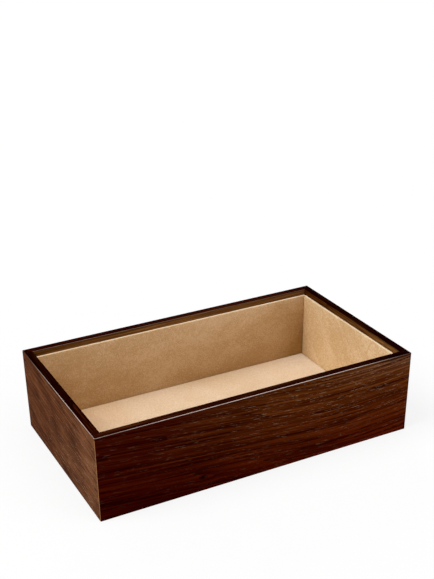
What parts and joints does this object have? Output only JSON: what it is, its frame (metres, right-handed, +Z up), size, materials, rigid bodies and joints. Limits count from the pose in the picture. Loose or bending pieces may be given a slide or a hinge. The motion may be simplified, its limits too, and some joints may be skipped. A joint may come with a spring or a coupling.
{
  "type": "jewelry tray",
  "caption": "Open rectangular jewelry tray: mitred dark-stained wood walls round a housed base, with suede-covered lining pads on walls and floor.",
  "frame": {"origin": "middle of the footprint, on the surface that the tray stands on", "axes": "+X along the length to the right, +Y to the rear, +Z up; the long wall seen in front is at -Y"},
  "size_m": [0.3, 0.172, 0.078],
  "materials": {
    "stained_veneer": "dark brown open-pored veneer under satin lacquer",
    "inner_veneer": "warm brown veneer band under satin lacquer",
    "stained_rim": "near-black brown solid strip, satin lacquer, eased arrises",
    "fibreboard": "raw medium-density fibreboard, stained dark on the exposed foot",
    "beech": "plain planed beech, glued in",
    "base_board": "plain thin board, unfinished",
    "dark_felt": "thin pressed felt, dark brown",
    "lining_board": "grey-brown lining board",
    "wall_suede": "camel microsuede with a short brushed nap",
    "floor_suede": "camel microsuede with a short brushed nap"
  },
  "bodies": {
    "root": {"front_core": "fibreboard", "front_outer_veneer": "stained_veneer", "front_inner_veneer": "inner_veneer", "front_rim_strip": "stained_rim", "front_liner_board": "lining_board", "front_liner_suede": "wall_suede", "right_core": "fibreboard", "right_outer_veneer": "stained_veneer", "right_inner_veneer": "inner_veneer", "right_rim_strip": "stained_rim", "right_liner_board": "lining_board", "right_liner_suede": "wall_suede", "rear_core": "fibreboard", "rear_outer_veneer": "stained_veneer", "rear_inner_veneer": "inner_veneer", "rear_rim_strip": "stained_rim", "rear_liner_board": "lining_board", "rear_liner_suede": "wall_suede", "left_core": "fibreboard", "left_outer_veneer": "stained_veneer", "left_inner_veneer": "inner_veneer", "left_rim_strip": "stained_rim", "left_liner_board": "lining_board", "left_liner_suede": "wall_suede", "front_right_tongue": "beech", "rear_right_tongue": "beech", "rear_left_tongue": "beech", "front_left_tongue": "beech", "base_panel": "base_board", "underside_felt": "dark_felt", "floor_board": "lining_board", "floor_suede": "floor_suede"}
  },
  "joints": []
}
